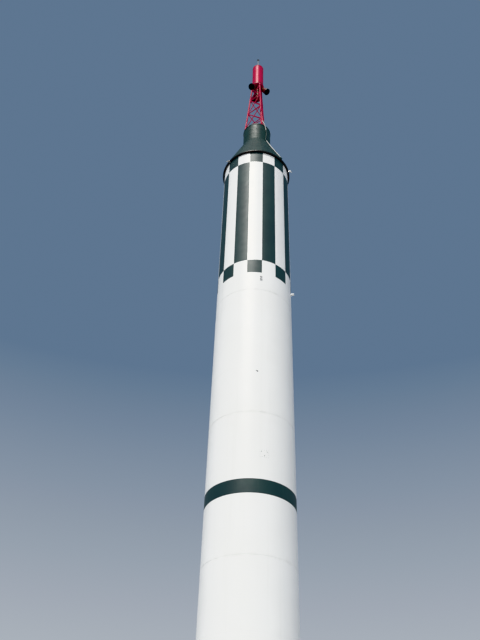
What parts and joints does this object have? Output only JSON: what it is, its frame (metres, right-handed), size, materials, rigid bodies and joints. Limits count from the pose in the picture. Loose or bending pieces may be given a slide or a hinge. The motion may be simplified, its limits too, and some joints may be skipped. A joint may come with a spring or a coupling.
{
  "type": "space rocket",
  "caption": "Slender white rocket with dark check stripes, a finned tail with steering rudders and jet vanes, a dark conical crew capsule and a red lattice escape tower.",
  "frame": {"origin": "centre of the base ring on the plane under its four foot pads", "axes": "+Z along the rocket towards its nose; -Y is the side that the picture was taken from; the fins lie along X and Y"},
  "size_m": [3.96, 3.96, 24.492],
  "materials": {
    "white_paint": "satin white enamel on sheet metal",
    "dark_paint": "glossy green-black enamel",
    "red_paint": "gloss crimson enamel",
    "dark_red_paint": "dull dark red enamel, scorched",
    "capsule_metal": "dark grey-green high-temperature coating",
    "bare_steel": "weathered bare steel",
    "heat_steel": "heat-stained steel",
    "graphite": "machined graphite",
    "black_nozzle": "black heat paint",
    "light_cable": "pale sheathing and bare mast tube",
    "window_glass": "dark display blanking behind a window"
  },
  "bodies": {
    "root": {"tail_shell": "white_paint", "base_ring": "bare_steel", "flame_shield": "heat_steel", "vane_ring": "heat_steel", "engine_nozzle": "heat_steel", "thrust_chamber": "heat_steel", "engine_block": "bare_steel", "tank_section_lower": "white_paint", "tank_section_middle": "white_paint", "tank_section_upper": "white_paint", "instrument_section": "white_paint", "dark_band": "dark_paint", "dark_check_pattern": "dark_paint", "vent_cover": "white_paint", "side_bracket": "white_paint", "capsule_clamp_ring": "black_nozzle", "capsule_cone": "capsule_metal", "side_hatch": "capsule_metal", "capsule_window": "window_glass", "recovery_section": "capsule_metal", "antenna_canister": "capsule_metal", "light_cable": "light_cable", "tower_clamp_ring": "capsule_metal", "tower_lattice": "red_paint", "motor_skirt": "dark_red_paint", "escape_motor": "red_paint", "jettison_motor": "dark_red_paint", "nose_mast": "light_cable", "mast_cap": "black_nozzle", "guy_lug_1": "bare_steel", "motor_nozzle_1": "black_nozzle", "guy_lug_2": "bare_steel", "motor_nozzle_2": "black_nozzle", "guy_lug_3": "bare_steel", "motor_nozzle_3": "black_nozzle", "fin_1": "white_paint", "fin_2": "white_paint", "fin_3": "white_paint", "fin_4": "white_paint"},
    "rudder_1": {"rudder_1": "white_paint"},
    "jet_vane_1": {"jet_vane_1": "graphite"},
    "rudder_2": {"rudder_2": "white_paint"},
    "jet_vane_2": {"jet_vane_2": "graphite"},
    "rudder_3": {"rudder_3": "white_paint"},
    "jet_vane_3": {"jet_vane_3": "graphite"},
    "rudder_4": {"rudder_4": "white_paint"},
    "jet_vane_4": {"jet_vane_4": "graphite"}
  },
  "joints": [
    {"name": "rudder_1_turn", "type": "hinge", "parent": "root", "child": "rudder_1", "pos_m": [0, -1.39, 0.5], "axis": [0, -1, 0], "range_deg": [-25, 25]},
    {"name": "jet_vane_1_turn", "type": "hinge", "parent": "root", "child": "jet_vane_1", "pos_m": [0, -0.5, 0.195], "axis": [0, -1, 0], "range_deg": [-25, 25]},
    {"name": "rudder_2_turn", "type": "hinge", "parent": "root", "child": "rudder_2", "pos_m": [1.39, 0, 0.5], "axis": [1, 0, 0], "range_deg": [-25, 25]},
    {"name": "jet_vane_2_turn", "type": "hinge", "parent": "root", "child": "jet_vane_2", "pos_m": [0.5, 0, 0.195], "axis": [1, 0, 0], "range_deg": [-25, 25]},
    {"name": "rudder_3_turn", "type": "hinge", "parent": "root", "child": "rudder_3", "pos_m": [0, 1.39, 0.5], "axis": [0, 1, 0], "range_deg": [-25, 25]},
    {"name": "jet_vane_3_turn", "type": "hinge", "parent": "root", "child": "jet_vane_3", "pos_m": [0, 0.5, 0.195], "axis": [0, 1, 0], "range_deg": [-25, 25]},
    {"name": "rudder_4_turn", "type": "hinge", "parent": "root", "child": "rudder_4", "pos_m": [-1.39, 0, 0.5], "axis": [-1, 0, 0], "range_deg": [-25, 25]},
    {"name": "jet_vane_4_turn", "type": "hinge", "parent": "root", "child": "jet_vane_4", "pos_m": [-0.5, 0, 0.195], "axis": [-1, 0, 0], "range_deg": [-25, 25]}
  ],
  "couplings": [
    {"joint": "jet_vane_1_turn", "follows": "rudder_1_turn", "ratio": 1},
    {"joint": "jet_vane_2_turn", "follows": "rudder_2_turn", "ratio": 1},
    {"joint": "jet_vane_3_turn", "follows": "rudder_3_turn", "ratio": 1},
    {"joint": "jet_vane_4_turn", "follows": "rudder_4_turn", "ratio": 1}
  ]
}
